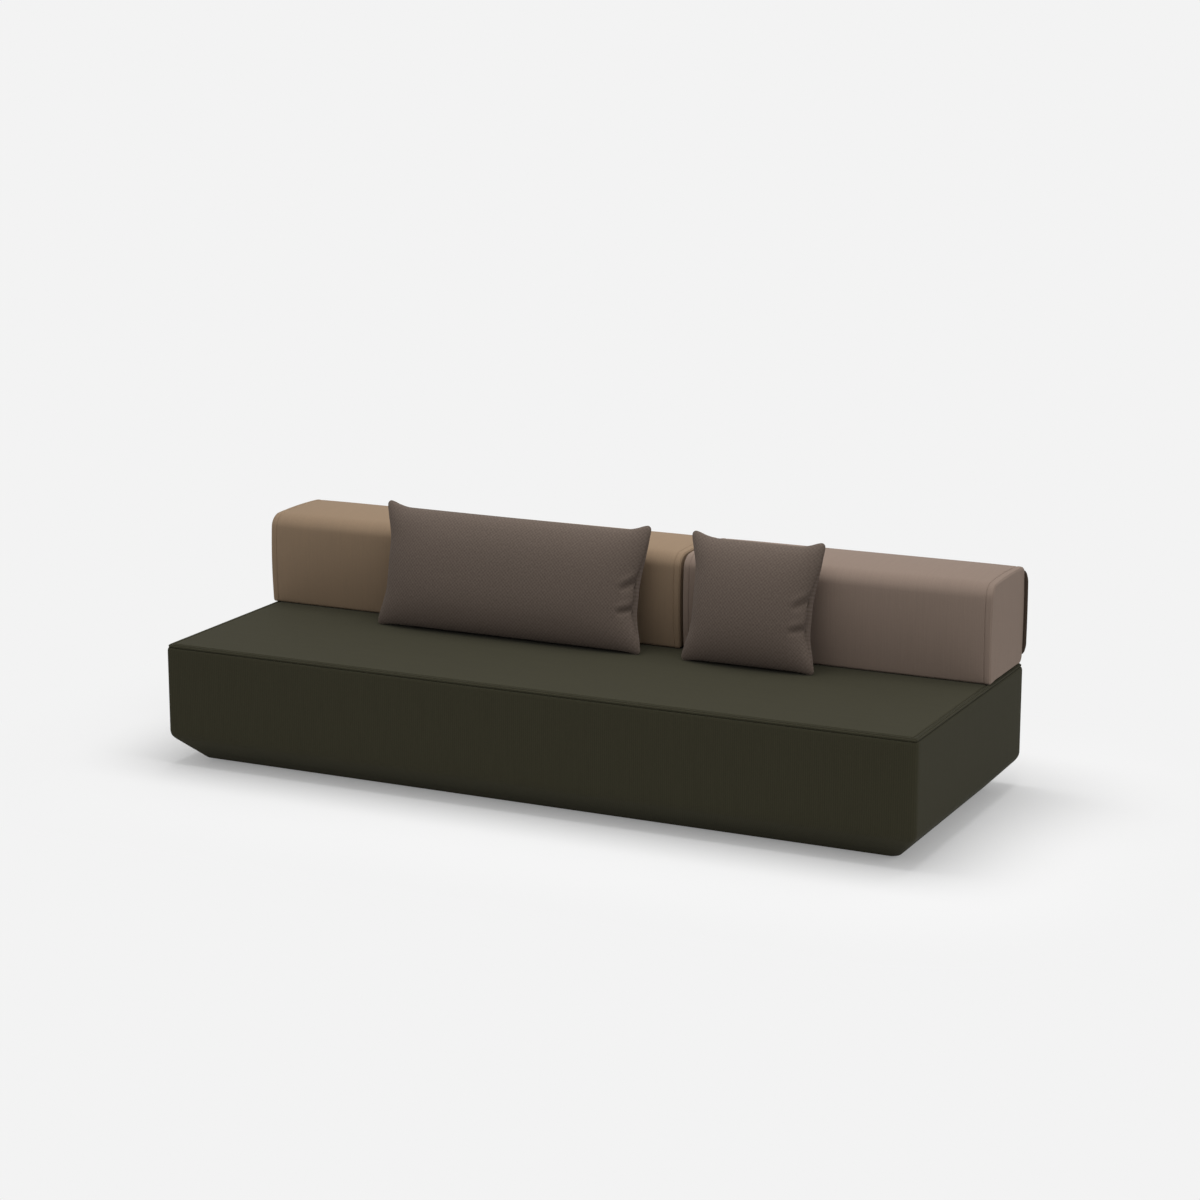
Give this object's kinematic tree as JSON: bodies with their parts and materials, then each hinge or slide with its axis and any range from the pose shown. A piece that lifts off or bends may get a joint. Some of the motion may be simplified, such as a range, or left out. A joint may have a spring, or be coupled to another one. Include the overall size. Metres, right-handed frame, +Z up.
{
  "type": "sofa bed",
  "caption": "Low upholstered sofa bed: a slatted base with an undercut foot, loose back bolsters of unequal length and loose cushions that lift off to leave a flat bed.",
  "frame": {"origin": "on the floor, under the middle of the base's outline", "axes": "+X to the right as seen from the front, along the sofa; +Y to the back; +Z up"},
  "size_m": [2.4, 0.915, 0.7511],
  "materials": {
    "olive_weave": "matte",
    "tan_weave": "matte",
    "taupe_weave": "matte",
    "mauve_weave": "matte",
    "foam": "matte",
    "softwood": "matte",
    "plywood": "matte",
    "beech": "satin",
    "black_plastic": "matte",
    "black_lining": "matte",
    "grip_rubber": "matte",
    "zip_tape": "matte",
    "zip_metal": "satin"
  },
  "bodies": {
    "base": {"front_rail": "softwood", "rear_rail": "softwood", "left_end_rail": "softwood", "right_end_rail": "softwood", "corner_blocks": "softwood", "long_floor_battens": "softwood", "end_floor_battens": "softwood", "cross_floor_battens": "softwood", "cross_rails": "softwood", "slat_ledgers": "softwood", "long_skirts": "plywood", "end_skirts": "plywood", "bed_slats": "beech", "slat_holders": "black_plastic", "glides": "black_plastic", "seat_core": "foam", "seat_topper": "foam", "front_padding": "foam", "rear_padding": "foam", "left_padding": "foam", "right_padding": "foam", "seat_top_panel": "olive_weave", "front_band_panel": "olive_weave", "rear_band_panel": "olive_weave", "left_band_panel": "olive_weave", "right_band_panel": "olive_weave", "dust_cover": "black_lining"},
    "left_bolster": {"left_bolster_left_end_panel": "tan_weave", "left_bolster_right_end_panel": "tan_weave", "left_bolster_sleeve": "tan_weave", "left_bolster_core": "foam", "left_bolster_board": "plywood", "left_bolster_grip_strips": "grip_rubber", "left_bolster_zip": "zip_tape"},
    "left_bolster_slider": {"left_bolster_zip_slider": "zip_metal"},
    "right_bolster": {"right_bolster_left_end_panel": "taupe_weave", "right_bolster_right_end_panel": "taupe_weave", "right_bolster_sleeve": "taupe_weave", "right_bolster_core": "foam", "right_bolster_board": "plywood", "right_bolster_grip_strips": "grip_rubber", "right_bolster_zip": "zip_tape"},
    "right_bolster_slider": {"right_bolster_zip_slider": "zip_metal"},
    "long_cushion": {"long_cushion_front_panel": "mauve_weave", "long_cushion_back_panel": "mauve_weave", "long_cushion_welt": "mauve_weave", "long_cushion_fill": "foam", "long_cushion_zip": "zip_tape"},
    "long_cushion_slider": {"long_cushion_zip_slider": "zip_metal"},
    "square_cushion": {"square_cushion_front_panel": "mauve_weave", "square_cushion_back_panel": "mauve_weave", "square_cushion_welt": "mauve_weave", "square_cushion_fill": "foam", "square_cushion_zip": "zip_tape"},
    "square_cushion_slider": {"square_cushion_zip_slider": "zip_metal"}
  },
  "joints": [
    {"name": "left_bolster_lift", "type": "slide", "parent": "base", "child": "left_bolster", "axis": [0, 0, 1], "range_m": [0, 0.45]},
    {"name": "right_bolster_lift", "type": "slide", "parent": "base", "child": "right_bolster", "axis": [0, 0, 1], "range_m": [0, 0.45]},
    {"name": "long_cushion_lift", "type": "slide", "parent": "base", "child": "long_cushion", "axis": [0, 0, 1], "range_m": [0, 0.45]},
    {"name": "square_cushion_lift", "type": "slide", "parent": "base", "child": "square_cushion", "axis": [0, 0, 1], "range_m": [0, 0.45]},
    {"name": "left_bolster_zip_run", "type": "slide", "parent": "left_bolster", "child": "left_bolster_slider", "axis": [-1, 0, 0], "range_m": [0, 1.222]},
    {"name": "right_bolster_zip_run", "type": "slide", "parent": "right_bolster", "child": "right_bolster_slider", "axis": [-1, 0, 0], "range_m": [0, 0.769]},
    {"name": "long_cushion_zip_run", "type": "slide", "parent": "long_cushion", "child": "long_cushion_slider", "axis": [-1, 0, 0], "range_m": [0, 0.632]},
    {"name": "square_cushion_zip_run", "type": "slide", "parent": "square_cushion", "child": "square_cushion_slider", "axis": [-1, 0, 0], "range_m": [0, 0.157]}
  ]
}
